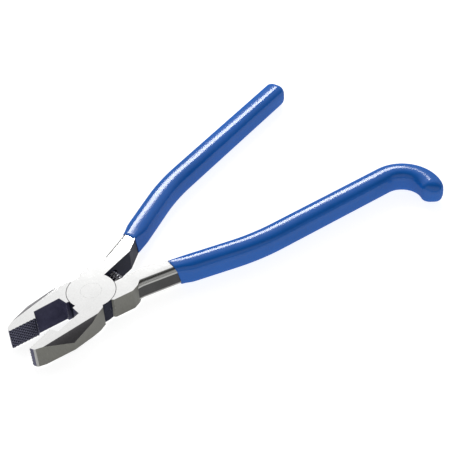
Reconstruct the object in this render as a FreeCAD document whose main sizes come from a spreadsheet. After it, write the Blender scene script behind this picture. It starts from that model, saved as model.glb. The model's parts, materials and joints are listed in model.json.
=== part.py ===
"""Spring-opened side-cutting pliers with one straight handle and one hooked handle.

Each half is one forging: flat knurled nose, side cutter, half of the lap joint, flank and tang.
Both halves are drawn closed, about the centre line, and then turned apart by the rest angle.
The origin is the pivot's centre on the head's underside.  X runs from the jaws (-X) to the
handles (+X) and Z is the joint's axis.  Millimetres and degrees.
"""
import FreeCAD
import Part
import Sketcher
import math
import os

DIMENSIONS = [
    # whole tool
    ("rest_turn", 9.7, "turn of each half away from the closed pose"),
    ("face_gap", 0.10, "distance of each knurled face from the centre line when closed"),
    ("head_thick", 12.0, "thickness of head and tangs"),
    # lap joint
    ("joint_rad", 12.2, "radius of each half's joint disc"),
    ("seam", 0.3, "gap around a joint disc"),
    ("lap", 0.1, "gap between the two joint discs"),
    ("rivet_rad", 3.6, "rivet shank radius"),
    ("rivet_head_rad", 5.2, "rivet head radius at the face"),
    ("rivet_cone", 1.6, "depth of the countersunk rivet head"),
    ("rivet_play", 0.05, "radial running clearance of the rivet in half_a"),
    # nose
    ("tip_x", 45.3, "tip of the nose from the pivot"),
    ("tip_out_x", 44.8, "outer corner of the tip"),
    ("tip_out_y", 3.0, "half width of the tip"),
    ("knurl_end_x", 31.3, "rear end of the knurled face"),
    ("corner_x", 28.8, "widest corner of the jaw"),
    ("corner_y", 13.5, "half width at the widest corner"),
    ("bulge_x", 15.5, "place where the jaw's side wall turns in towards the pivot"),
    ("bulge_y", 13.8, "half width at that place"),
    ("jaw_back_x", 5.7, "rear shoulder of the jaw"),
    ("jaw_back_y", 12.4, "half width at the rear shoulder"),
    ("tip_round", 1.6, "rounding of the tip's outer corner"),
    ("tooth_pitch", 1.35, "distance between knurl grooves"),
    ("tooth_depth", 0.5, "depth of the knurl grooves"),
    ("tooth_count", 14, "knurl grooves each way"),
    # side facets
    ("facet_front_x", 42.3, "front end of the facet's top edge"),
    ("facet_front_y", 5.1, "distance of that end from the centre line"),
    ("facet_rear_x", 10.6, "rear end of the facet's top edge"),
    ("facet_rear_y", 12.9, "distance of that end from the centre line"),
    ("facet_drop", 3.7, "depth of the facet at the jaw's widest corner"),
    # cutter
    ("recess_front_x", 29.5, "front corner of the cutter recess"),
    ("recess_front_y", 4.7, "depth of the recess at that corner"),
    ("recess_rear_x", 15.2, "rear corner of the cutter recess"),
    ("recess_rear_y", 5.1, "depth of the recess at that corner"),
    ("recess_end_x", 13.7, "rear end of the recess on the centre line"),
    ("edge_set", 0.15, "distance of the cutting edge from the centre line when closed"),
    ("edge_rise", 1.3, "height of the cutting edge above the underside"),
    ("edge_back", 1.3, "width of the cutter's back bevel"),
    # flank and tang
    ("flank_x", 5.6, "front shoulder of the flank"),
    ("flank_y", 12.5, "half width at the shoulder"),
    ("flank_end_x", 16.3, "rear corner of the flank"),
    ("flank_end_y", 12.9, "half width at that corner"),
    ("flank_round", 2.5, "rounding of that corner"),
    ("tang_x", 20.3, "start of the tang's outer wall"),
    ("tang_y", 11.0, "distance of that wall from the centre line"),
    ("tang_bend_x", 23.4, "place where the tang's outer wall turns out"),
    ("tang_end_x", 47.0, "end of the full-thickness tang, inside the grip"),
    ("tang_end_in", 7.7, "inner wall of the tang at that end"),
    ("tang_end_out", 14.4, "outer wall of the tang at that end"),
    ("inner_y", 1.8, "distance of the tang's flat inner wall from the centre line"),
    ("inner_bend_x", 32.2, "place where the inner wall turns out"),
    ("tang_round", 3.0, "rounding of the tang's outer edges"),
    ("core_wide", 7.0, "width of the tang inside the grip"),
    ("core_thick", 9.0, "thickness of the tang inside the grip"),
    ("core_short", 6.0, "distance of the tang's end from the grip's end"),
    # grips
    ("grip_x", 42.5, "front rim of the grip"),
    ("grip_y", 9.7, "centre of the grip at its front rim"),
    ("grip_slope", 12.7, "angle of the grip's front run"),
    ("grip_bend", 117.0, "radius of the bend into the straight run"),
    ("grip_run_y", 19.6, "distance of the straight run from the centre line"),
    ("grip_wide", 12.4, "width of the grip"),
    ("grip_thick", 13.2, "thickness of the grip"),
    ("grip_round", 4.2, "rounding of the grip's section"),
    ("grip_end_round", 4.0, "rounding of the grip's end"),
    ("grip_rim_round", 0.3, "rounding of the grip's front rim"),
    ("grip_end_x", 195.2, "end of the straight handle's grip"),
    ("hook_x", 171.5, "start of the hook"),
    ("hook_rad", 15.9, "radius of the hook's centre line"),
    ("hook_turn", 133.0, "turn of the hook"),
    # spring
    ("spring_x", 17.6, "distance of the spring from the pivot"),
    ("spring_half", 8.5, "half length of the spring at rest"),
    ("spring_rad", 2.1, "radius of the spring's wire centre line"),
    ("spring_wire", 0.5, "radius of the spring wire"),
    ("spring_pitch", 2.0, "spring pitch at rest"),
    ("pocket_x", 18.5, "distance of the spring pockets from the pivot, closed"),
    ("pocket_rad", 3.3, "radius of the spring pockets"),
    ("pocket_end", 5.9, "floor of the spring pockets from the centre line, closed"),
]

doc = FreeCAD.newDocument("pliers")
dims = doc.addObject("Spreadsheet::Sheet", "Dims")
for row, (alias, number, note) in enumerate(DIMENSIONS, start=1):
    dims.set(f"A{row}", note)
    dims.set(f"B{row}", str(number))
    dims.setAlias(f"B{row}", alias)
doc.recompute()

LOW = "0"
HIGH = "Dims.head_thick"
MIDDLE = "(Dims.head_thick / 2)"
SIDE_SLANT = "(Dims.corner_y - Dims.tip_out_y) / (Dims.tip_out_x - Dims.corner_x)"
NOSE_SIDE_Y = f"-Dims.tip_out_y - (Dims.tip_out_x - Dims.knurl_end_x) * {SIDE_SLANT}"
FACET_RISE = "(Dims.facet_rear_y - Dims.facet_front_y) / (Dims.facet_front_x - Dims.facet_rear_x)"

# How far the tools that cut the forgings stand past the faces that they cut, and how far a
# swept handle starts before the place where it is needed, in millimetres.
PAST = "1"
TOOTH_PAST = "0.2"
FACET_PAST = "6"
LEAD = "2"
UPRIGHT = FreeCAD.Vector(0, 0, 1)
NEAR = 0.001


def value(expression):
    """The number that an expression on the sheet stands for."""
    return float(dims.evalExpression(expression))


def new_sketch(body, name, role, offset=None, turn=None):
    """A sketch on one of the body's origin planes, moved off it and turned about its own Y."""
    sketch = body.newObject("Sketcher::SketchObject", name)
    plane = next(item for item in body.Origin.OriginFeatures if item.Role == role)
    sketch.AttachmentSupport = [(plane, "")]
    sketch.MapMode = "FlatFace"
    if turn:
        spin = FreeCAD.Rotation(FreeCAD.Vector(0, 1, 0), value(turn))
        sketch.AttachmentOffset = FreeCAD.Placement(FreeCAD.Vector(), spin)
    for axis, expression in (offset or {}).items():
        sketch.setExpression(f".AttachmentOffset.Base.{axis}", expression)
    return sketch


def bind(sketch, kind, references, expression):
    """Adds a dimension to the sketch and binds it to the sheet; an angle is given in degrees."""
    number, unit = value(expression), ""
    if kind == "Angle":
        number, unit = math.radians(number), " * 1 deg"
    index = sketch.addConstraint(Sketcher.Constraint(kind, *references, number))
    sketch.setExpression(f"Constraints[{index}]", f"({expression}){unit}")


def place_point(sketch, geometry, end, across, along):
    """Holds one point of a sketch element at a place given by two expressions."""
    bind(sketch, "DistanceX", (-1, 1, geometry, end), across)
    bind(sketch, "DistanceY", (-1, 1, geometry, end), along)


def polygon(body, name, role, points, offset=None, turn=None):
    """A closed polygon whose corners are all bound to the sheet."""
    sketch = new_sketch(body, name, role, offset, turn)
    corners = [FreeCAD.Vector(value(across), value(along), 0) for across, along in points]
    for index, corner in enumerate(corners):
        sketch.addGeometry(Part.LineSegment(corner, corners[(index + 1) % len(corners)]))
    for index in range(len(corners)):
        following = (index + 1) % len(corners)
        sketch.addConstraint(Sketcher.Constraint("Coincident", index, 2, following, 1))
    for index, (across, along) in enumerate(points):
        place_point(sketch, index, 1, across, along)
    return sketch


def circle(body, name, role, radius, centre=("0", "0"), offset=None):
    """A circle with a bound centre and radius."""
    sketch = new_sketch(body, name, role, offset)
    middle = FreeCAD.Vector(value(centre[0]), value(centre[1]), 0)
    sketch.addGeometry(Part.Circle(middle, UPRIGHT, value(radius)))
    place_point(sketch, 0, 3, *centre)
    bind(sketch, "Radius", (0,), radius)
    return sketch


def rounded_rectangle(body, name, role, wide, tall, radius, offset, turn):
    """A centred rectangle with rounded corners: lines 0 to 3 are joined by arcs 4 to 7."""
    sketch = new_sketch(body, name, role, offset, turn)
    half_wide, half_tall, bend = value(wide) / 2, value(tall) / 2, value(radius)
    flat = [half_wide - bend, half_tall - bend]
    for turn in range(4):
        spin = FreeCAD.Rotation(UPRIGHT, 90 * turn)
        reach, run = (half_tall, flat[0]) if turn % 2 == 0 else (half_wide, flat[1])
        ends = [spin.multVec(FreeCAD.Vector(side * run, -reach, 0)) for side in (-1, 1)]
        sketch.addGeometry(Part.LineSegment(*ends))
    for turn in range(4):
        spin = FreeCAD.Rotation(UPRIGHT, 90 * turn)
        first, second = (flat[0], flat[1]) if turn % 2 == 0 else (flat[1], flat[0])
        corner = spin.multVec(FreeCAD.Vector(first, -second, 0))
        start = math.radians(90 * turn - 90)
        ring = Part.Circle(corner, UPRIGHT, bend)
        sketch.addGeometry(Part.ArcOfCircle(ring, start, start + math.pi / 2))
    for turn in range(4):
        following = (turn + 1) % 4
        sketch.addConstraint(Sketcher.Constraint("Tangent", turn, 2, 4 + turn, 1))
        sketch.addConstraint(Sketcher.Constraint("Tangent", 4 + turn, 2, following, 1))
    sketch.addConstraint([Sketcher.Constraint("Horizontal", line) for line in (0, 2)])
    sketch.addConstraint([Sketcher.Constraint("Vertical", line) for line in (1, 3)])
    sketch.addConstraint([Sketcher.Constraint("Equal", 4, arc) for arc in (5, 6, 7)])
    bind(sketch, "Radius", (4,), radius)
    for line, size in ((0, f"-{tall}"), (2, tall)):
        bind(sketch, "DistanceY", (-1, 1, line, 1), f"{size} / 2")
    for line, size in ((1, wide), (3, f"-{wide}")):
        bind(sketch, "DistanceX", (-1, 1, line, 1), f"{size} / 2")
    return sketch


def extrude(body, kind, name, sketch, length, both_ways=False):
    """A Pad along the sketch's normal or a Pocket against it, with its length bound."""
    feature = body.newObject(f"PartDesign::{kind}", name)
    feature.Profile = sketch
    feature.setExpression("Length", length)
    if both_ways:
        feature.SideType = "Symmetric"
    return feature


def revolve(body, kind, name, points):
    """A Revolution or Groove about Z of a polygon given as (radius, height) corners."""
    sketch = polygon(body, f"{name}_sketch", "XZ_Plane", points)
    feature = body.newObject(f"PartDesign::{kind}", name)
    feature.Profile = sketch
    feature.ReferenceAxis = (sketch, ["V_Axis"])
    feature.Angle = 360
    return feature


def cut_between(body, name, first, first_z, second, second_z):
    """Takes away the straight-sided solid between two polygons at two heights."""
    feature = body.newObject("PartDesign::SubtractiveLoft", name)
    feature.Profile = polygon(body, f"{name}_first", "XY_Plane", first, {"z": first_z})
    feature.Sections = [polygon(body, f"{name}_second", "XY_Plane", second, {"z": second_z})]
    feature.Ruled = True
    return feature


def round_edges(body, name, radius, wanted):
    """Fillets the edges of the body's last feature that the test picks out."""
    doc.recompute()
    base = body.Tip
    names = [f"Edge{index}" for index, edge in enumerate(base.Shape.Edges, 1) if wanted(edge)]
    if not names:
        raise RuntimeError(f"{body.Label}: {name} found no edges")
    fillet = body.newObject("PartDesign::Fillet", name)
    fillet.Base = (base, names)
    fillet.setExpression("Radius", radius)
    return fillet


def along_plane(edge, point, normal):
    """True for an edge that lies in the plane through a point."""
    return all(abs((spot - point).dot(normal)) < NEAR for spot in edge.discretize(5))


def run_y(start_x):
    """How far the sloping front run of a handle is from the centre line at a place along it."""
    return f"(Dims.grip_y + ({start_x} - Dims.grip_x) * tan(Dims.grip_slope * 1 deg))"


def handle_path(body, name, start_x, end_x, hook_turn=None):
    """The handle's centre line: a sloping run, a wide bend, a straight run and perhaps a hook.

    Returns the sketch, and the point and direction in which the line ends."""
    sketch = new_sketch(body, name, "XY_Plane", {"z": MIDDLE})
    start_y = run_y(start_x)
    begin = FreeCAD.Vector(value(start_x), value(start_y), 0)
    slope, radius = math.radians(value("Dims.grip_slope")), value("Dims.grip_bend")
    level = value("Dims.grip_run_y")
    bend_y = level - radius * (1 - math.cos(slope))
    bend_x = begin.x + (bend_y - begin.y) / math.tan(slope)
    centre = FreeCAD.Vector(bend_x + radius * math.sin(slope), level - radius, 0)
    finish = FreeCAD.Vector(value(end_x), level, 0)
    sketch.addGeometry(Part.LineSegment(begin, FreeCAD.Vector(bend_x, bend_y, 0)))
    bend = Part.ArcOfCircle(Part.Circle(centre, UPRIGHT, radius), math.pi / 2, math.pi / 2 + slope)
    sketch.addGeometry(bend)
    sketch.addGeometry(Part.LineSegment(FreeCAD.Vector(centre.x, level, 0), finish))
    sketch.addConstraint(Sketcher.Constraint("Tangent", 0, 2, 1, 2))
    sketch.addConstraint(Sketcher.Constraint("Tangent", 1, 1, 2, 1))
    sketch.addConstraint(Sketcher.Constraint("Horizontal", 2))
    place_point(sketch, 0, 1, start_x, start_y)
    bind(sketch, "Angle", (0,), "Dims.grip_slope")
    bind(sketch, "Radius", (1,), "Dims.grip_bend")
    place_point(sketch, 2, 2, end_x, "Dims.grip_run_y")
    direction = FreeCAD.Vector(1, 0, 0)
    if hook_turn:
        turn, reach = math.radians(value(hook_turn)), value("Dims.hook_rad")
        middle = finish + FreeCAD.Vector(0, reach, 0)
        ring = Part.Circle(middle, UPRIGHT, reach)
        sketch.addGeometry(Part.ArcOfCircle(ring, -math.pi / 2, turn - math.pi / 2))
        sketch.addConstraint(Sketcher.Constraint("Tangent", 2, 2, 3, 1))
        bind(sketch, "Radius", (3,), "Dims.hook_rad")
        bind(sketch, "Angle", (3,), hook_turn)
        direction = FreeCAD.Vector(math.cos(turn), math.sin(turn), 0)
        finish = middle + FreeCAD.Vector(reach * math.sin(turn), -reach * math.cos(turn), 0)
    return sketch, finish, direction


def pipe(body, name, profile, path):
    """A section carried along a handle's centre line."""
    feature = body.newObject("PartDesign::AdditivePipe", name)
    feature.Profile = profile
    feature.Spine = (path, [f"Edge{index}" for index in range(1, path.GeometryCount + 1)])
    return feature


def knurl(body, name, turn):
    """Parallel V grooves across the nose's face, at the given angle to the tool's length."""
    flare = f"Dims.tooth_pitch / 2 * (1 + {TOOTH_PAST} / Dims.tooth_depth)"
    first = "-(Dims.tooth_count - 1) / 2 * Dims.tooth_pitch"
    centre = {"x": "-(Dims.tip_x + Dims.knurl_end_x) / 2", "y": "-Dims.face_gap", "z": MIDDLE}
    groove = [
        (f"{first} - {flare}", TOOTH_PAST),
        (first, "-Dims.tooth_depth"),
        (f"{first} + {flare}", TOOTH_PAST),
    ]
    sketch = polygon(body, f"{name}_sketch", "XY_Plane", groove, centre, turn)
    pocket = extrude(body, "Pocket", name, sketch, "4 * Dims.head_thick", both_ways=True)
    rows = body.newObject("PartDesign::LinearPattern", f"{name}_rows")
    rows.Originals = [pocket]
    rows.Direction = (sketch, ["H_Axis"])
    rows.setExpression("Length", "(Dims.tooth_count - 1) * Dims.tooth_pitch")
    rows.setExpression("Occurrences", "Dims.tooth_count")
    body.Tip = rows


def facet(body, name, face_z, inner_z):
    """The flat that slopes from the jaw's top or bottom face down to its widest corner."""
    front_x = f"-Dims.facet_front_x - {FACET_PAST}"
    front_y = f"-Dims.facet_front_y + {FACET_PAST} * {FACET_RISE}"
    rear_x = f"-Dims.facet_rear_x + {FACET_PAST}"
    rear_y = f"-Dims.facet_rear_y - {FACET_PAST} * {FACET_RISE}"
    line_y = f"(Dims.facet_front_y + (Dims.facet_front_x - Dims.corner_x) * {FACET_RISE})"

    def strip(out):
        return [
            (front_x, f"{front_y} - {out}"),
            (rear_x, f"{rear_y} - {out}"),
            (rear_x, f"{rear_y} - {out} - Dims.head_thick"),
            (front_x, f"{front_y} - {out} - Dims.head_thick"),
        ]

    cut_between(body, name, strip("0"), face_z, strip(f"(Dims.corner_y - {line_y})"), inner_z)


def is_upright(edge, across, along):
    """True for an edge that stands on the given place of the closed half."""
    place = FreeCAD.Vector(value(across), value(along), 0)
    return all(vertex.Point.distanceToLine(place, UPRIGHT) < NEAR for vertex in edge.Vertexes)


def slab(body, name, points):
    """A full-thickness plate with the given outline."""
    sketch = polygon(body, f"{name}_sketch", "XY_Plane", points, {"z": LOW})
    extrude(body, "Pad", name, sketch, "Dims.head_thick")


def add_nose(body):
    """The flat nose, with its outer corner rounded and its face knurled."""
    slab(body, "nose", [
        ("-Dims.tip_x", "-Dims.face_gap"),
        ("-Dims.tip_out_x", "-Dims.tip_out_y"),
        ("-Dims.knurl_end_x", NOSE_SIDE_Y),
        ("-Dims.knurl_end_x", "-Dims.face_gap"),
    ])
    round_edges(
        body, "tip_rounding", "Dims.tip_round",
        lambda edge: is_upright(edge, "-Dims.tip_out_x", "-Dims.tip_out_y"),
    )
    knurl(body, "knurl_up", "45")
    knurl(body, "knurl_down", "-45")


def add_tang(body):
    """The bare tang between the joint and the grip, with its outer edges rounded."""
    slab(body, "tang", [
        ("Dims.joint_rad", "Dims.inner_y"),
        ("Dims.inner_bend_x", "Dims.inner_y"),
        ("Dims.tang_end_x", "Dims.tang_end_in"),
        ("Dims.tang_end_x", "Dims.tang_end_out"),
        ("Dims.tang_bend_x", "Dims.tang_y"),
        ("Dims.joint_rad", "Dims.tang_y"),
    ])
    wall_y, low, high = value("Dims.tang_y"), value(LOW), value(HIGH)

    def outer_edge(edge):
        box = edge.BoundBox
        level = box.ZLength < NEAR and min(abs(box.ZMin - low), abs(box.ZMin - high)) < NEAR
        return level and box.YMin > wall_y - NEAR and box.XLength > NEAR

    round_edges(body, "tang_rounding", "Dims.tang_round", outer_edge)


def add_flank(body):
    """The squared flank beside the joint, which steps down to the tang."""
    merge_x = "Dims.tang_x + Dims.tang_y / 4"
    slab(body, "flank", [
        ("0", "Dims.inner_y"),
        (merge_x, "Dims.inner_y"),
        (merge_x, "Dims.tang_y * 3 / 4"),
        ("Dims.tang_x", "Dims.tang_y"),
        ("Dims.flank_end_x", "Dims.flank_end_y"),
        ("Dims.flank_x", "Dims.flank_y"),
        ("0", "Dims.flank_y - Dims.flank_x"),
    ])
    round_edges(
        body, "flank_rounding", "Dims.flank_round",
        lambda edge: is_upright(edge, "Dims.flank_end_x", "Dims.flank_end_y"),
    )


def add_jaw(body):
    """The jaw between nose and joint, with a sloping flat on its top and bottom."""
    disc = circle(body, "disc_sketch", "XY_Plane", "Dims.joint_rad", offset={"z": LOW})
    extrude(body, "Pad", "disc", disc, "Dims.head_thick")
    slab(body, "jaw", [
        ("-Dims.knurl_end_x", "-Dims.edge_set"),
        ("-Dims.knurl_end_x", NOSE_SIDE_Y),
        ("-Dims.corner_x", "-Dims.corner_y"),
        ("-Dims.bulge_x", "-Dims.bulge_y"),
        ("-Dims.jaw_back_x", "-Dims.jaw_back_y"),
        ("0", "Dims.jaw_back_x - Dims.jaw_back_y"),
        ("0", "-Dims.edge_set"),
    ])
    facet(body, "upper_facet", HIGH, f"{HIGH} - Dims.facet_drop")
    facet(body, "lower_facet", LOW, f"{LOW} + Dims.facet_drop")


def cut_side_cutter(body, recess_up):
    """The recess that leads to the cutting edge, and the bevel behind that edge."""
    open_z, far_z = (HIGH, LOW) if recess_up else (LOW, HIGH)
    edge_z = f"{LOW} + Dims.edge_rise" if recess_up else f"{HIGH} - Dims.edge_rise"
    front = ("-Dims.knurl_end_x", PAST)
    rear = ("-Dims.recess_end_x", PAST)
    edge_front_x = "-(Dims.knurl_end_x + Dims.recess_front_x) / 2"
    edge_rear_x = "-(Dims.recess_end_x + Dims.recess_rear_x) / 2"
    back_y = "-Dims.edge_set - Dims.edge_back"
    recess_front = ("-Dims.recess_front_x", "-Dims.recess_front_y")
    recess_rear = ("-Dims.recess_rear_x", "-Dims.recess_rear_y")
    mouth = [front, recess_front, recess_rear, rear]
    blade = [front, (edge_front_x, "-Dims.edge_set"), (edge_rear_x, "-Dims.edge_set"), rear]
    behind = [front, (edge_front_x, back_y), (edge_rear_x, back_y), rear]
    cut_between(body, "recess", mouth, open_z, blade, edge_z)
    cut_between(body, "back_bevel", behind, far_z, blade, edge_z)


def cut_joint(body, rivet_gap):
    """The room for the other half's disc, the rivet's bore and the spring's blind pocket."""
    clear = circle(
        body, "disc_clearance_sketch", "XY_Plane", "Dims.joint_rad + Dims.seam",
        offset={"z": f"{MIDDLE} + Dims.lap / 2"},
    )
    extrude(body, "Pocket", "disc_clearance", clear, "Dims.head_thick")
    shank = f"Dims.rivet_rad + {rivet_gap}"
    head = f"Dims.rivet_head_rad + {rivet_gap}"
    revolve(body, "Groove", "rivet_bore", [
        ("0", f"{LOW} - {PAST}"),
        (shank, f"{LOW} - {PAST}"),
        (shank, f"{HIGH} - Dims.rivet_cone"),
        (head, HIGH),
        (head, f"{HIGH} + {PAST}"),
        ("0", f"{HIGH} + {PAST}"),
    ])
    centre = ("Dims.pocket_x", MIDDLE)
    seat = circle(body, "spring_pocket_sketch", "XZ_Plane", "Dims.pocket_rad", centre)
    extrude(body, "Pocket", "spring_pocket", seat, "Dims.pocket_end")


def add_core(body, hooked):
    """The thinner end of the tang, which the grip covers."""
    start_x = f"(Dims.tang_end_x - {LEAD})"
    end_x = "Dims.grip_end_x - Dims.core_short"
    turn = None
    if hooked:
        end_x = "Dims.hook_x"
        turn = "Dims.hook_turn - Dims.core_short / Dims.hook_rad * 180 / pi"
    path = handle_path(body, "core_path", start_x, end_x, turn)[0]
    corners = [
        (f"{across} * Dims.core_wide / 2", f"{up} * Dims.core_thick / 2")
        for across, up in ((-1, -1), (1, -1), (1, 1), (-1, 1))
    ]
    start = {"x": run_y(start_x), "y": MIDDLE, "z": start_x}
    section = polygon(body, "core_sketch", "YZ_Plane", corners, start, "Dims.grip_slope")
    pipe(body, "core", section, path)


def half(label, recess_up, rivet_gap, hooked):
    """One forging, closed: jaw on the -Y side, handle on the +Y side, disc in the upper layer."""
    body = doc.addObject("PartDesign::Body", label)
    body.AllowCompound = True
    add_nose(body)
    add_tang(body)
    add_flank(body)
    add_jaw(body)
    cut_side_cutter(body, recess_up)
    cut_joint(body, rivet_gap)
    add_core(body, hooked)
    return body


def grip(label, hooked):
    """The outer form of one dipped grip, closed, before the tang's room is taken out."""
    body = doc.addObject("PartDesign::Body", f"{label}_form")
    end_x = "Dims.hook_x" if hooked else "Dims.grip_end_x"
    turn = "Dims.hook_turn" if hooked else None
    start_x = f"(Dims.grip_x - {LEAD})"
    path, finish, direction = handle_path(body, "grip_path", start_x, end_x, turn)
    section = rounded_rectangle(
        body, "grip_section", "YZ_Plane", "Dims.grip_wide", "Dims.grip_thick", "Dims.grip_round",
        {"x": run_y(start_x), "y": MIDDLE, "z": start_x}, "Dims.grip_slope",
    )
    pipe(body, "sleeve", section, path)
    round_edges(
        body, "end_rounding", "Dims.grip_end_round",
        lambda edge: along_plane(edge, finish, direction),
    )
    spare = [
        (f"Dims.grip_x - {before} * Dims.grip_wide", f"Dims.grip_y + {across} * Dims.grip_wide")
        for before, across in ((1, -1), (0, -1), (0, 1), (1, 1))
    ]
    trim = polygon(body, "rim_trim_sketch", "XY_Plane", spare, {"z": MIDDLE})
    extrude(body, "Pocket", "rim_trim", trim, "2 * Dims.grip_thick", both_ways=True)
    rim = FreeCAD.Vector(value("Dims.grip_x"), 0, 0)
    round_edges(
        body, "rim_rounding", "Dims.grip_rim_round",
        lambda edge: along_plane(edge, rim, FreeCAD.Vector(1, 0, 0)),
    )
    return body


def sleeve(label, form, core):
    """A grip with the room for its tang taken out."""
    cut = doc.addObject("Part::Cut", label)
    cut.Base = form
    cut.Tool = core
    return cut


half_a = half("half_a", recess_up=True, rivet_gap="Dims.rivet_play", hooked=False)
half_b = half("half_b", recess_up=False, rivet_gap="0", hooked=True)
form_a = grip("grip_a", hooked=False)
form_b = grip("grip_b", hooked=True)

rest_turn = value("Dims.rest_turn")
turned = FreeCAD.Rotation(UPRIGHT, rest_turn)
turned_back = FreeCAD.Rotation(UPRIGHT, -rest_turn)
flipped = FreeCAD.Rotation(FreeCAD.Vector(1, 0, 0), 180)
rest_a = FreeCAD.Placement(FreeCAD.Vector(), turned)
rest_b = FreeCAD.Placement(FreeCAD.Vector(0, 0, 2 * value(MIDDLE)), turned_back.multiply(flipped))
for item, rest in ((half_a, rest_a), (form_a, rest_a), (half_b, rest_b), (form_b, rest_b)):
    item.Placement = rest
doc.recompute()
grip_a = sleeve("grip_a", form_a, half_a)
grip_b = sleeve("grip_b", form_b, half_b)

rivet = doc.addObject("PartDesign::Body", "rivet")
revolve(rivet, "Revolution", "rivet_turning", [
    ("0", LOW),
    ("Dims.rivet_head_rad", LOW),
    ("Dims.rivet_rad", f"{LOW} + Dims.rivet_cone"),
    ("Dims.rivet_rad", f"{HIGH} - Dims.rivet_cone"),
    ("Dims.rivet_head_rad", HIGH),
    ("0", HIGH),
])

helix = doc.addObject("Part::Helix", "spring_line")
helix.setExpression("Pitch", "Dims.spring_pitch")
helix.setExpression("Height", "2 * Dims.spring_half - 2 * Dims.spring_wire")
helix.setExpression("Radius", "Dims.spring_rad")
wire = doc.addObject("Part::Circle", "spring_section")
wire.setExpression("Radius", "Dims.spring_wire")
wire.Placement = FreeCAD.Placement(
    FreeCAD.Vector(value("Dims.spring_rad"), 0, 0), FreeCAD.Rotation(FreeCAD.Vector(1, 0, 0), 90)
)
spring = doc.addObject("Part::Sweep", "return_spring")
spring.Sections = [wire]
spring.Spine = (helix, ["Edge1"])
spring.Solid = True
spring.Frenet = True
spring_start = FreeCAD.Vector(
    value("Dims.spring_x"), value("Dims.spring_half - Dims.spring_wire"), value(MIDDLE)
)
spring.Placement = FreeCAD.Placement(spring_start, FreeCAD.Rotation(FreeCAD.Vector(1, 0, 0), 90))
doc.recompute()

failed = [item.Name for item in doc.Objects if "Invalid" in item.State or "Error" in item.State]
if failed:
    raise RuntimeError(f"features that did not build: {failed}")

NODES = [half_a, half_b, grip_a, grip_b, rivet, spring]
for node in NODES:
    if node.Shape.isNull() or not node.Shape.isValid():
        raise RuntimeError(f"{node.Label} has no valid shape")
os.makedirs("parts", exist_ok=True)
for node in NODES:
    node.Shape.exportStep(os.path.join("parts", f"{node.Label}.step"))
    print(f"{node.Label}: {len(node.Shape.Solids)} solid, {node.Shape.Volume:.1f} mm3")
    print(f"    {node.Shape.BoundBox}")
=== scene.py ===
"""Looks of the spring-opened side-cutting pliers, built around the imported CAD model.

Both halves are the same forging.  Each is described closed, with its jaw on the -Y side and its
handle on the +Y side, and REST turns it into its place in the tool.  Metres and radians.
"""

import json
import math

import bmesh
import bpy
from mathutils import Matrix, Vector


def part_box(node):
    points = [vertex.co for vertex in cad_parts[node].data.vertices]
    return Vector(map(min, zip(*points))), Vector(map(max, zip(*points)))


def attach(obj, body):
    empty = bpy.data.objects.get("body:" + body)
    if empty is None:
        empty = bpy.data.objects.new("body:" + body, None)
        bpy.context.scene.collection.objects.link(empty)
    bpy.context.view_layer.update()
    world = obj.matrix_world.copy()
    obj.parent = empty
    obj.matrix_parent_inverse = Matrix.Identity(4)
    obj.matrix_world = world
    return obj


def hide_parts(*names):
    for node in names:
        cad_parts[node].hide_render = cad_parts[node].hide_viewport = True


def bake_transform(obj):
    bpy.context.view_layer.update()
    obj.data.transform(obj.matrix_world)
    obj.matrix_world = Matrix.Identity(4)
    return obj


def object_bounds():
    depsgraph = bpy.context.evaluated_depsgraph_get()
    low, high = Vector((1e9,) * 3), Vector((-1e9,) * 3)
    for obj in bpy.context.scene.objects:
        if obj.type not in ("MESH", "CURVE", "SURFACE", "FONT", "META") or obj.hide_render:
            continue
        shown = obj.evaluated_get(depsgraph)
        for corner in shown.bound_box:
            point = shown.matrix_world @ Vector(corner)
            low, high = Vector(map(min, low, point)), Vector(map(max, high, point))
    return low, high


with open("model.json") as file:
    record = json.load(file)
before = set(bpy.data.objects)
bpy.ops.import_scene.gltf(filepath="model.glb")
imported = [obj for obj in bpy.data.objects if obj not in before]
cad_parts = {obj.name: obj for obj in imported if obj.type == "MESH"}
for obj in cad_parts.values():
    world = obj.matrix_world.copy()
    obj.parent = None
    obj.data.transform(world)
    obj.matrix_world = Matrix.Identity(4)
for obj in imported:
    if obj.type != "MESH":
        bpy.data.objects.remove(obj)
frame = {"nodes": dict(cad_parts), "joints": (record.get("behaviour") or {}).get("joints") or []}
cad_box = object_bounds()

MM = 0.001
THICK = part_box("rivet")[1].z
MIDDLE = THICK / 2
JOINT = frame["joints"][0]
REST_TURN = math.radians(JOINT["range_deg"][1]) / 2
REST = {
    "a": Matrix.Rotation(REST_TURN, 4, "Z"),
    "b": Matrix.Translation((0, 0, THICK)) @ Matrix.Rotation(-REST_TURN, 4, "Z")
    @ Matrix.Rotation(math.pi, 4, "X"),
}

# The forging, closed.
JOINT_RAD = 12.2 * MM
TANG_INNER_BEND = Vector((32.2, 1.8)) * MM
TANG_OUTER_BEND = Vector((23.4, 11.0)) * MM
TANG_END_X = 47.0 * MM
TANG_END_INNER_Y = 7.7 * MM
TANG_END_OUTER_Y = 14.4 * MM
TANG_ROUND = 3.0 * MM
CORE_WIDE = 7.0 * MM
CORE_THICK = 9.0 * MM

# Where the forging's finishes and its painted shades and highlights give way to one another,
# closed.
TIP_ROUND_X = -43.0 * MM
KNURL_END_X = -31.0 * MM
KNURL_DEEP_Y = -1.0 * MM
JAW_INNER_Y = -2.0 * MM
CUTTER_END_X = -12.6 * MM
FLANK_END_X = 20.0 * MM
BEYOND_DISC = JOINT_RAD + 0.2 * MM
OUTER_Y = 2.4 * MM
FACE_DEPTH = 0.3 * MM

# How far a face looks up or down, outward, or to the tip or the lap, as parts of its unit normal.
LEVEL = 0.98
UPRIGHT = 0.1
FACET_LEVEL = 0.3
FACET_OUTWARD = 0.15
OUTWARD = 0.2
FULLY_OUTWARD = 0.8
TOOTH_TIPWARD = 0.3
TOOTH_LAPWARD = 0.2

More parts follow.
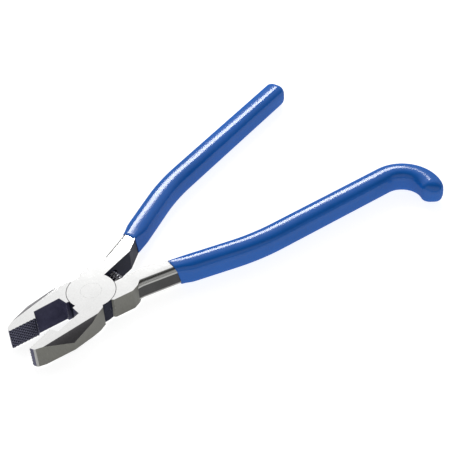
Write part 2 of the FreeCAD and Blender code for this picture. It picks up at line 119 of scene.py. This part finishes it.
# How the forging's edges are worn and shaded.
EDGE_BREAK = 0.14 * MM
WORN_LENGTH = 0.7 * MM
WORN_ANGLE = math.radians(35)
FLAT_ANGLE = math.radians(0.5)
SMOOTH_ANGLE = math.radians(20)
WELD = 0.001 * MM

# The handle's centre line, closed.
GRIP_START = Vector((42.5, 9.7)) * MM
GRIP_SLOPE = math.radians(12.7)
GRIP_BEND = 117.0 * MM
GRIP_RUN_Y = 19.6 * MM
GRIP_END_X = 195.2 * MM
HOOK_X = 171.5 * MM
HOOK_RAD = 15.9 * MM
HOOK_TURN = math.radians(133.0)

# The grip's section.
GRIP_WIDE = 12.4 * MM
GRIP_THICK = 13.2 * MM
OVAL_POWER = 2.9
GRIP_WALL = 0.55 * MM
RIM_LIP = 0.35 * MM
RIM_INNER_ROUND = 1.5 * MM
RIM_TILT = 0.2
RIM_SWELL = 9.0 * MM
STRAIGHT_END_ROUND = 4.1 * MM
HOOK_END_ROUND = 5.6 * MM
CORE_SHORT = 6.0 * MM
SLACK = 0.03 * MM

# The return spring.
COIL_X = 17.6 * MM
COIL_RAD = 2.1 * MM
COIL_TURNS = 9
WIRE_RAD = 0.5 * MM

# How finely the pieces are drawn.
TURN_STEPS = 28
WIRE_SIDES = 12
AROUND = 48
SKIN_RINGS = 120
BORE_RINGS = 60
LIP_STEPS = 4
END_STEPS = 8
CRISP = math.radians(40)


# --------------------------------------------------------------------------- materials

# A Mix node's sockets when it blends colours.
MIX_SHARE, MIX_FIRST, MIX_SECOND, MIX_RESULT = 0, 6, 7, 2

# Steel: waves per metre of its broad patches, their share of the tone, and the grinding lines.
PATCH_WAVES = 60
PATCH_SHARE = 0.35
TONE_RANGE = (0.35, 0.65)
ROUGHNESS_RANGE = (0.85, 1.2)
GRIND_DEPTH = 0.03 * MM
BRUSHED_ACROSS = (9, 9, 1)
EVEN_GRAIN = (1, 1, 1)

# Vinyl: a matt blue base under a thin clear skin.
VINYL_DARK = (0.007, 0.098, 0.40)
VINYL_LIGHT = (0.010, 0.112, 0.45)
CLOUD_WAVES = 45
SKIN_WAVES = 60
SKIN_ROUGHNESS = (0.12, 0.14)
SKIN_WEIGHT = 0.15
SKIN_IOR = 2.5
BASE_ROUGHNESS = 0.5
RIPPLE_STRENGTH = 0.02
RIPPLE_DEPTH = 0.1 * MM


def new_material(name):
    """An empty node material with its output and main shader."""
    material = bpy.data.materials.new(name)
    material.use_nodes = True
    tree = material.node_tree
    tree.nodes.clear()
    output = tree.nodes.new("ShaderNodeOutputMaterial")
    shader = tree.nodes.new("ShaderNodeBsdfPrincipled")
    tree.links.new(shader.outputs["BSDF"], output.inputs["Surface"])
    return material, tree, shader


def placed_noise(tree, scale, detail=2.0, rough=0.5, stretch=(1, 1, 1)):
    """Noise fixed to the piece, stretched along its axes; scale is in waves per metre."""
    coordinates = tree.nodes.new("ShaderNodeTexCoord")
    mapping = tree.nodes.new("ShaderNodeMapping")
    mapping.inputs["Scale"].default_value = [scale * part for part in stretch]
    noise = tree.nodes.new("ShaderNodeTexNoise")
    noise.inputs["Scale"].default_value = 1.0
    noise.inputs["Detail"].default_value = detail
    noise.inputs["Roughness"].default_value = rough
    tree.links.new(coordinates.outputs["Object"], mapping.inputs["Vector"])
    tree.links.new(mapping.outputs["Vector"], noise.inputs["Vector"])
    return noise.outputs["Fac"]


def spread(tree, source, low, high, start=0.3, stop=0.7):
    """Maps a noise value to a range."""
    span = tree.nodes.new("ShaderNodeMapRange")
    span.inputs["From Min"].default_value = start
    span.inputs["From Max"].default_value = stop
    span.inputs["To Min"].default_value = low
    span.inputs["To Max"].default_value = high
    tree.links.new(source, span.inputs["Value"])
    return span.outputs["Result"]


def tint(tree, source, dark, light):
    """Blends between two colours by a value."""
    blend = tree.nodes.new("ShaderNodeMix")
    blend.data_type = "RGBA"
    blend.inputs[MIX_FIRST].default_value = (*dark, 1)
    blend.inputs[MIX_SECOND].default_value = (*light, 1)
    tree.links.new(source, blend.inputs[MIX_SHARE])
    return blend.outputs[MIX_RESULT]


def relief(tree, shader, source, strength, distance):
    """Small bumps from a value; distance is in metres."""
    bump = tree.nodes.new("ShaderNodeBump")
    bump.inputs["Strength"].default_value = strength
    bump.inputs["Distance"].default_value = distance
    tree.links.new(source, bump.inputs["Height"])
    for socket in ("Normal", "Coat Normal"):
        tree.links.new(bump.outputs["Normal"], shader.inputs[socket])


def steel(name, dark, light, rough, stretch=EVEN_GRAIN, grain=900, metal=1.0,
          strength=0.25, ior=1.5):
    """A steel finish: fine grinding lines in tone, roughness and relief, over broad patches.

    grain is in lines per metre; a coat of painted shade has no metal and its own refractive index."""
    material, tree, shader = new_material(name)
    lines = placed_noise(tree, grain, detail=3, rough=0.6, stretch=stretch)
    patches = placed_noise(tree, PATCH_WAVES, detail=3, rough=0.55)
    blend = tree.nodes.new("ShaderNodeMix")
    blend.inputs["Factor"].default_value = PATCH_SHARE
    tree.links.new(lines, blend.inputs["A"])
    tree.links.new(patches, blend.inputs["B"])
    tone = spread(tree, blend.outputs["Result"], 0, 1, *TONE_RANGE)
    tree.links.new(tint(tree, tone, dark, light), shader.inputs["Base Color"])
    finest, coarsest = (rough * part for part in ROUGHNESS_RANGE)
    tree.links.new(spread(tree, lines, finest, coarsest), shader.inputs["Roughness"])
    shader.inputs["Metallic"].default_value = metal
    shader.inputs["IOR"].default_value = ior
    relief(tree, shader, lines, strength, GRIND_DEPTH)
    return material


def vinyl(name):
    """Glossy blue dip: slight unevenness of colour and gloss, and a soft ripple in the skin."""
    material, tree, shader = new_material(name)
    cloud = placed_noise(tree, CLOUD_WAVES, detail=3)
    colour = tint(tree, spread(tree, cloud, 0, 1), VINYL_DARK, VINYL_LIGHT)
    tree.links.new(colour, shader.inputs["Base Color"])
    haze = placed_noise(tree, SKIN_WAVES, detail=1)
    tree.links.new(spread(tree, haze, *SKIN_ROUGHNESS), shader.inputs["Coat Roughness"])
    shader.inputs["Roughness"].default_value = BASE_ROUGHNESS
    shader.inputs["Specular IOR Level"].default_value = 0.0
    shader.inputs["Coat Weight"].default_value = SKIN_WEIGHT
    shader.inputs["Coat IOR"].default_value = SKIN_IOR
    ripple = placed_noise(tree, SKIN_WAVES, detail=0)
    relief(tree, shader, ripple, RIPPLE_STRENGTH, RIPPLE_DEPTH)
    return material


GROUND = steel("ground_steel", (0.74, 0.74, 0.735), (0.83, 0.83, 0.825), rough=0.07,
               stretch=(1, 6, 1), strength=0.05)
# Sides: a brushed grain, under a dark tone that is painted shade.
SIDE = steel("brushed_steel_painted_shade", (0.130, 0.130, 0.117), (0.195, 0.195, 0.178), rough=0.42,
             stretch=BRUSHED_ACROSS, grain=700)
# Roundings: a smoother polish, under a lighter tone that is a painted highlight.
ROUNDED = steel("polished_edge_painted_highlight", (0.31, 0.31, 0.30), (0.38, 0.38, 0.37), rough=0.24,
                stretch=BRUSHED_ACROSS, grain=700)
# Jaw facets: a dark tone that is painted shade.
FACET = steel("facet_painted_shade", (0.155, 0.150, 0.160), (0.205, 0.200, 0.212), rough=0.34,
              stretch=(5, 5, 2), grain=700)
# Cutter recess and the jaws' inner faces: a dark bluish painted shade, not metal.
RECESS_SHADE = steel("recess_painted_shade", (0.060, 0.060, 0.108), (0.090, 0.090, 0.155), rough=0.38,
              grain=500, metal=0.0, ior=1.3)
# Knurl hollows, inner walls and the notch between the handles: near black, a painted shade, not
# metal.
DARK = steel("painted_shade_dark", (0.014, 0.016, 0.030), (0.022, 0.025, 0.044), rough=0.42,
             grain=500, metal=0.0, ior=1.16)
# Knurl flanks facing the tip and the lap side: a lighter tone, a painted highlight.
LIT_TEETH = steel("painted_lit_teeth", (0.11, 0.11, 0.16), (0.17, 0.17, 0.23), rough=0.35, grain=700)
# Tang sides: a darker tone still, painted shade.
TANG_SHADE = steel("tang_side_painted_shade", (0.050, 0.050, 0.051), (0.078, 0.078, 0.079), rough=0.40,
              stretch=BRUSHED_ACROSS, grain=700)
WIRE = steel("spring_wire", (0.18, 0.18, 0.20), (0.30, 0.30, 0.32), rough=0.20)
VINYL = vinyl("blue_vinyl")
FINISHES_AND_PAINTED_LIGHT = [GROUND, SIDE, ROUNDED, TANG_SHADE, FACET, RECESS_SHADE, DARK, LIT_TEETH]


# --------------------------------------------------------------------------- forgings

def finish_and_painted_light_of(centre, normal):
    """Which material a face of the closed half gets, by where it lies and which way it looks: a
    real finish, a painted shade, a painted highlight.

    The knurl's flanks that look towards the tip and the lap side are painted lighter as a painted
    highlight; its other faces are painted dark as painted shade."""
    levelness = abs(normal.z)
    on_faces = min(centre.z, THICK - centre.z) < FACE_DEPTH
    if levelness > LEVEL and on_faces:
        return GROUND
    on_jaw = centre.x < 0 and centre.y < JAW_INNER_Y
    # The jaws' outer facets get a dark painted shade.
    if on_jaw and normal.y < -FACET_OUTWARD and levelness > FACET_LEVEL:
        return FACET
    outward = -normal.y if centre.y < 0 else normal.y
    # Outward sides: the roundings get a lighter painted tone for their bright line (painted
    # highlight), the jaw and tang sides darker tones of painted shade.
    if centre.xy.length > BEYOND_DISC and outward > OUTWARD and abs(centre.y) > OUTER_Y:
        on_tip = centre.x < TIP_ROUND_X and outward < FULLY_OUTWARD
        if on_tip or UPRIGHT < levelness < LEVEL:
            return ROUNDED
        return TANG_SHADE if centre.x > FLANK_END_X else SIDE
    # Knurl: flanks facing the tip and lap side painted lighter (painted highlight), the rest
    # painted dark (painted shade).
    if centre.x < KNURL_END_X and centre.y > KNURL_DEEP_Y:
        worn_and_lit = normal.x < -TOOTH_TIPWARD and normal.z < -TOOTH_LAPWARD
        return LIT_TEETH if worn_and_lit else DARK
    # Everything else is painted dark as painted shade: the cutter recess and the jaws' inner faces
    # towards the tip, the walls between the handles behind it.
    return RECESS_SHADE if centre.x < CUTTER_END_X else DARK


def break_edges(shape, to_closed):
    """Takes the sharpness off the long edges; the knurled face keeps its points."""
    bmesh.ops.dissolve_limit(
        shape, angle_limit=FLAT_ANGLE, verts=shape.verts, edges=shape.edges, delimit={"MATERIAL"}
    )
    worn_and_lit = []
    for edge in shape.edges:
        halfway = to_closed @ ((edge.verts[0].co + edge.verts[1].co) / 2)
        knurled = halfway.x < KNURL_END_X and halfway.y > KNURL_DEEP_Y
        if knurled or not edge.is_manifold or edge.calc_length() <= WORN_LENGTH:
            continue
        if edge.calc_face_angle() > WORN_ANGLE:
            worn_and_lit.append(edge)
    bmesh.ops.bevel(
        shape, geom=worn_and_lit, offset=EDGE_BREAK, segments=1, affect="EDGES", clamp_overlap=True
    )


def forging(side, body):
    """One half: the CAD half with its edges softened, and each surface given its finish, most of
    them painted shade and highlight.
    """
    node = f"half_{side}"
    mesh = frame["nodes"][node].data.copy()
    mesh.name = f"forging_{side}"
    piece = bpy.data.objects.new(f"forging_{side}", mesh)
    bpy.context.scene.collection.objects.link(piece)
    mesh.materials.clear()
    for material in FINISHES_AND_PAINTED_LIGHT:
        mesh.materials.append(material)
    shape = bmesh.new()
    shape.from_mesh(mesh)
    bmesh.ops.remove_doubles(shape, verts=shape.verts, dist=WELD)
    to_closed = REST[side].inverted()
    turned = to_closed.to_3x3()
    for face in shape.faces:
        centre = to_closed @ face.calc_center_median()
        finish = finish_and_painted_light_of(centre, turned @ face.normal)
        face.material_index = FINISHES_AND_PAINTED_LIGHT.index(finish)
        face.smooth = True
    break_edges(shape, to_closed)
    for edge in shape.edges:
        edge.smooth = edge.is_manifold and edge.calc_face_angle() < SMOOTH_ANGLE
    shape.to_mesh(mesh)
    shape.free()
    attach(piece, body)
    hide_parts(node)


forging("a", "straight_side")
forging("b", "hooked_side")
rivet = frame["nodes"]["rivet"]
rivet.data.materials.clear()
rivet.data.materials.append(GROUND)


# --------------------------------------------------------------------------- grips

def handle_line(hooked):
    """A closed handle's centre line: its place and direction at a distance, and its length."""
    bend_y = GRIP_RUN_Y - GRIP_BEND * (1 - math.cos(GRIP_SLOPE))
    bend_x = GRIP_START.x + (bend_y - GRIP_START.y) / math.tan(GRIP_SLOPE)
    run_x = bend_x + GRIP_BEND * math.sin(GRIP_SLOPE)
    front = (Vector((bend_x, bend_y)) - GRIP_START).length
    arc = GRIP_BEND * GRIP_SLOPE
    straight = (HOOK_X if hooked else GRIP_END_X) - run_x
    hook = HOOK_RAD * HOOK_TURN if hooked else 0
    total = front + arc + straight + hook

    def at(distance):
        if distance <= front:
            along = Vector((math.cos(GRIP_SLOPE), math.sin(GRIP_SLOPE)))
            return GRIP_START + along * distance, GRIP_SLOPE
        distance -= front
        if distance <= arc:
            angle = GRIP_SLOPE - distance / GRIP_BEND
            place = Vector((run_x, GRIP_RUN_Y - GRIP_BEND))
            return place + Vector((-math.sin(angle), math.cos(angle))) * GRIP_BEND, angle
        distance -= arc
        if distance <= straight:
            return Vector((run_x + distance, GRIP_RUN_Y)), 0.0
        angle = (distance - straight) / HOOK_RAD
        centre = Vector((HOOK_X, GRIP_RUN_Y + HOOK_RAD))
        return centre + Vector((math.sin(angle), -math.cos(angle))) * HOOK_RAD, angle

    return at, total


def section(inner, outer, up, inner_round, outer_round):
    """Points of a box with rounded corners, from its outer wall over the top, anticlockwise."""
    corners = [
        (outer - outer_round, up - outer_round, outer_round),
        (inner + inner_round, up - inner_round, inner_round),
        (inner + inner_round, inner_round - up, inner_round),
        (outer - outer_round, outer_round - up, outer_round),
    ]
    steps = AROUND // 4 - 2
    arcs = []
    for quarter, (across, height, bend) in enumerate(corners):
        angles = [math.pi / 2 * (quarter + step / steps) for step in range(steps + 1)]
        centre = Vector((across, height))
        arcs.append([centre + Vector((math.cos(turn), math.sin(turn))) * bend for turn in angles])
    points = []
    for arc, following in zip(arcs, arcs[1:] + arcs[:1]):
        points.extend([*arc, (arc[-1] + following[0]) / 2])
    return points


def oval(wide, thick):
    """Points of a squared oval in the same order as those of a section."""
    points = []
    for step in range(1, AROUND + 1):
        angle = math.tau * step / AROUND
        wave = (math.cos(angle), math.sin(angle))
        across, height = (math.copysign(abs(part) ** (2 / OVAL_POWER), part) for part in wave)
        points.append(Vector((wide / 2 * across, thick / 2 * height)))
    return points


def tang_limits(place, angle):
    """Inner and outer wall of the tang across the handle's centre line at a place."""
    limits = []
    for bend, end_y in ((TANG_INNER_BEND, TANG_END_INNER_Y), (TANG_OUTER_BEND, TANG_END_OUTER_Y)):
        slope = (end_y - bend.y) / (TANG_END_X - bend.x)
        wall_y = bend.y + slope * (place.x - bend.x)
        limits.append((wall_y - place.y) / (math.cos(angle) + slope * math.sin(angle)))
    return limits


def mix(first, second, share):
    """The value a share of the way from the first to the second."""
    return first + (second - first) * share


def ease(share):
    """A share from 0 to 1 with a gentle start and stop."""
    share = min(max(share, 0.0), 1.0)
    return share * share * (3 - 2 * share)


def skin(distance, at, total, end_round, trim=0.0):
    """The grip's outer section: it hugs the tang at the rim, swells, and rounds off at the end."""
    inner, outer = tang_limits(*at(0))
    wall = GRIP_WALL - trim
    rim = section(inner - wall, outer + wall, THICK / 2 + wall, RIM_INNER_ROUND, TANG_ROUND + wall)
    left = min(total - distance, end_round)
    inset = end_round - math.sqrt(left * (2 * end_round - left))
    full = oval(GRIP_WIDE - 2 * inset, GRIP_THICK - 2 * inset)
    share = ease(distance / RIM_SWELL)
    return [mix(first, second, share) for first, second in zip(rim, full)]


def ring(shape, distance, at, tilt, points):
    """Adds one ring of points across the centre line; near the rim it leans as the rim does."""
    place, angle = at(distance)
    along = Vector((math.cos(angle), math.sin(angle)))
    across = Vector((-along.y, along.x))
    near_rim = 1 - ease(distance / RIM_SWELL)
    corners = []
    for point in points:
        lead = near_rim * (math.tan(GRIP_SLOPE) * point.x - tilt * point.y)
        corners.append((*(place + across * point.x + along * lead), MIDDLE + point.y))
    return [shape.verts.new(corner) for corner in corners]


def grip(side, hooked):
    """A dipped grip: a bore for the tang, a rolled rim, the outer skin and a rounded end."""
    at, total = handle_line(hooked)
    tilt = -RIM_TILT if hooked else RIM_TILT
    end_round = HOOK_END_ROUND if hooked else STRAIGHT_END_ROUND
    shape = bmesh.new()
    rings = []
    step_at = (TANG_END_X - GRIP_START.x) / math.cos(GRIP_SLOPE) + GRIP_WALL
    bore_end = total - CORE_SHORT
    wide, tall = CORE_WIDE / 2 + SLACK, CORE_THICK / 2 + SLACK
    bore = section(-wide, wide, tall, SLACK, SLACK)
    for index in range(BORE_RINGS + 1):
        distance = mix(bore_end, step_at, index / BORE_RINGS)
        rings.append(ring(shape, distance, at, tilt, bore))
    for distance in (step_at, step_at / 2, 0.0):
        inner, outer = tang_limits(*at(distance))
        room = (inner - SLACK, outer + SLACK, THICK / 2 + SLACK)
        rings.append(ring(shape, distance, at, tilt, section(*room, SLACK, TANG_ROUND)))
    for step in range(LIP_STEPS + 1):
        turn = math.pi / 2 * step / LIP_STEPS
        trim = RIM_LIP * (1 - math.sin(turn))
        distance = RIM_LIP * (1 - math.cos(turn))
        rings.append(ring(shape, distance, at, tilt, skin(distance, at, total, end_round, trim)))
    for index in range(1, SKIN_RINGS + 1):
        distance = mix(RIM_LIP, total - end_round, index / SKIN_RINGS)
        rings.append(ring(shape, distance, at, tilt, skin(distance, at, total, end_round)))
    for step in range(1, END_STEPS + 1):
        distance = total - end_round * (1 - math.sin(math.pi / 2 * step / END_STEPS))
        rings.append(ring(shape, distance, at, tilt, skin(distance, at, total, end_round)))
    loft(shape, rings)
    return finished(shape, f"vinyl_grip_{side}", VINYL, REST[side])


def loft(shape, rings):
    """Joins rings of points into a closed skin."""
    for first, second in zip(rings, rings[1:]):
        for index in range(len(first)):
            following = (index + 1) % len(first)
            shape.faces.new((first[index], first[following], second[following], second[index]))
    shape.faces.new(rings[0])
    shape.faces.new(reversed(rings[-1]))
    bmesh.ops.recalc_face_normals(shape, faces=shape.faces)


def finished(shape, name, material, placement):
    """Turns a worked shape into a piece with smooth faces and crisp corners."""
    for face in shape.faces:
        face.smooth = True
    for edge in shape.edges:
        edge.smooth = edge.calc_face_angle() < CRISP
    mesh = bpy.data.meshes.new(name)
    shape.to_mesh(mesh)
    shape.free()
    mesh.transform(placement)
    mesh.materials.append(material)
    piece = bpy.data.objects.new(name, mesh)
    bpy.context.scene.collection.objects.link(piece)
    return piece


for grip_side, grip_body in (("a", "straight_side"), ("b", "hooked_side")):
    sleeve = grip(grip_side, hooked=grip_side == "b")
    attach(sleeve, grip_body)
    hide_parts(f"grip_{grip_side}")


# --------------------------------------------------------------------------- return spring

def coil():
    """The return spring: round wire wound between the two handles."""
    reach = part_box("return_spring")[1].y - WIRE_RAD
    shape = bmesh.new()
    rings = []
    count = COIL_TURNS * TURN_STEPS
    for step in range(count + 1):
        angle = math.tau * step / TURN_STEPS
        outward = Vector((math.cos(angle), 0, math.sin(angle)))
        centre = Vector((COIL_X, mix(-reach, reach, step / count), MIDDLE)) + outward * COIL_RAD
        points = []
        for index in range(WIRE_SIDES):
            turn = math.tau * index / WIRE_SIDES
            swing = outward * math.cos(turn) + Vector((0, math.sin(turn), 0))
            points.append(shape.verts.new(centre + swing * WIRE_RAD))
        rings.append(points)
    loft(shape, rings)
    piece = finished(shape, "spring_coil", WIRE, Matrix())
    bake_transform(piece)
    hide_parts("return_spring")


coil()


# --------------------------------------------------------------------------- stage

# Brightness of the surroundings by height, as (sine of the elevation, level), and by how far
# they lie towards the far side, from 0 on the camera's side to 1 straight beyond the tool.
BY_HEIGHT = [(0.0, 0.35), (0.18, 0.55), (0.34, 1.0), (0.80, 1.0), (0.92, 0.45), (1.0, 0.35)]
BY_SIDE = [(0.0, 0.85), (0.22, 0.85), (0.34, 0.06), (0.50, 0.06), (0.75, 1.0), (1.0, 1.0)]
FAR_SIDE = (0.67, 0.743, 0.0)

FLOOR_REACH = 6.0
FLOOR_GLOW = 0.84
FLOOR_DARK = (0.42, 0.42, 0.42)
FLOOR_LIGHT = (0.46, 0.46, 0.46)
FLOOR_WAVES = 3.0
FLOOR_ROUGHNESS = 0.9
FLOOR_SHEEN = 0.1

SOFTBOX_OFFSET = Vector((0.50, 0.56, 0.575))
SOFTBOX_WIDE = 0.50
SOFTBOX_TALL = 0.135
SOFTBOX_WATTS = 6.2

LENS = 96.0
SENSOR = 36.0
NEAR_CLIP = 0.01
CAMERA_AZIMUTH = -0.7338
CAMERA_ELEVATION = 0.7221
CAMERA_ROLL = -0.072
CAMERA_DISTANCE = 589.9 * MM
JOINT_OFF_AXIS = Vector((-0.11163, -0.05465))
JOINT_TOP = Vector((0, 0, 11.945 * MM))


def camera():
    """The camera: on the jaws' side, looking down over them, with the joint left of centre."""
    data = bpy.data.cameras.new("camera")
    data.lens = LENS
    data.sensor_width = SENSOR
    data.clip_start = NEAR_CLIP
    view = bpy.data.objects.new("camera", data)
    bpy.context.scene.collection.objects.link(view)
    back = Vector((
        math.sin(CAMERA_AZIMUTH) * math.cos(CAMERA_ELEVATION),
        -math.cos(CAMERA_AZIMUTH) * math.cos(CAMERA_ELEVATION),
        math.sin(CAMERA_ELEVATION),
    ))
    level = (-back).cross(Vector((0, 0, 1))).normalized()
    upward = level.cross(-back)
    right = level * math.cos(CAMERA_ROLL) + upward * math.sin(CAMERA_ROLL)
    up = upward * math.cos(CAMERA_ROLL) - level * math.sin(CAMERA_ROLL)
    aim = -back + right * JOINT_OFF_AXIS.x + up * JOINT_OFF_AXIS.y
    view.matrix_world = Matrix((
        (right.x, up.x, back.x, 0),
        (right.y, up.y, back.y, 0),
        (right.z, up.z, back.z, 0),
        (0, 0, 0, 1),
    ))
    view.location = JOINT_TOP - aim * CAMERA_DISTANCE
    bpy.context.scene.camera = view


def softbox():
    """A narrow softbox high beyond the tool; it draws the streaks along the grips."""
    data = bpy.data.lights.new("back_softbox", "AREA")
    data.shape = "RECTANGLE"
    data.size = SOFTBOX_WIDE
    data.size_y = SOFTBOX_TALL
    data.energy = SOFTBOX_WATTS
    light = bpy.data.objects.new("back_softbox", data)
    bpy.context.scene.collection.objects.link(light)
    light.location = (cad_box[0] + cad_box[1]) / 2 + SOFTBOX_OFFSET
    light.rotation_euler = (-SOFTBOX_OFFSET).to_track_quat("-Z", "Y").to_euler()


def stage():
    """A pale, faintly glowing floor under the grips."""
    low = cad_box[0].z
    mesh = bpy.data.meshes.new("floor")
    around = ((-1, -1), (1, -1), (1, 1), (-1, 1))
    corners = [(FLOOR_REACH * across, FLOOR_REACH * along, low) for across, along in around]
    mesh.from_pydata(corners, [], [(0, 1, 2, 3)])
    floor = bpy.data.objects.new("floor", mesh)
    bpy.context.scene.collection.objects.link(floor)
    material, tree, shader = new_material("floor_white")
    tone = spread(tree, placed_noise(tree, FLOOR_WAVES), 0.0, 1.0)
    tree.links.new(tint(tree, tone, FLOOR_DARK, FLOOR_LIGHT), shader.inputs["Base Color"])
    shader.inputs["Roughness"].default_value = FLOOR_ROUGHNESS
    shader.inputs["Specular IOR Level"].default_value = FLOOR_SHEEN
    shader.inputs["Emission Color"].default_value = (1, 1, 1, 1)
    shader.inputs["Emission Strength"].default_value = FLOOR_GLOW
    mesh.materials.append(material)


def ramp(tree, source, levels):
    """Grey levels over a value from 0 to 1, blended between the given places."""
    node = tree.nodes.new("ShaderNodeValToRGB")
    stops = node.color_ramp.elements
    for place, level in levels[2:]:
        stops.new(place)
    for stop, (place, level) in zip(stops, levels):
        stop.position = place
        stop.color = (level, level, level, 1)
    tree.links.new(source, node.inputs["Fac"])
    return node.outputs["Color"]


def surroundings():
    """A studio's walls: bright beyond the tool and behind the camera, dark at the sides."""
    world = bpy.data.worlds.new("studio")
    bpy.context.scene.world = world
    world.use_nodes = True
    tree = world.node_tree
    background = tree.nodes["Background"]
    coordinates = tree.nodes.new("ShaderNodeTexCoord")
    split = tree.nodes.new("ShaderNodeSeparateXYZ")
    tree.links.new(coordinates.outputs["Generated"], split.inputs[0])
    band = ramp(tree, split.outputs["Z"], BY_HEIGHT)
    facing = tree.nodes.new("ShaderNodeVectorMath")
    facing.operation = "DOT_PRODUCT"
    facing.inputs[1].default_value = FAR_SIDE
    tree.links.new(coordinates.outputs["Generated"], facing.inputs[0])
    side = ramp(tree, spread(tree, facing.outputs["Value"], 0.0, 1.0, -1.0, 1.0), BY_SIDE)
    product = tree.nodes.new("ShaderNodeMix")
    product.data_type = "RGBA"
    product.blend_type = "MULTIPLY"
    product.inputs[MIX_SHARE].default_value = 1.0
    tree.links.new(band, product.inputs[MIX_FIRST])
    tree.links.new(side, product.inputs[MIX_SECOND])
    tree.links.new(product.outputs[MIX_RESULT], background.inputs["Color"])
    background.inputs["Strength"].default_value = 1.0


camera()
stage()
surroundings()
softbox()
bpy.context.scene.view_settings.view_transform = "Standard"
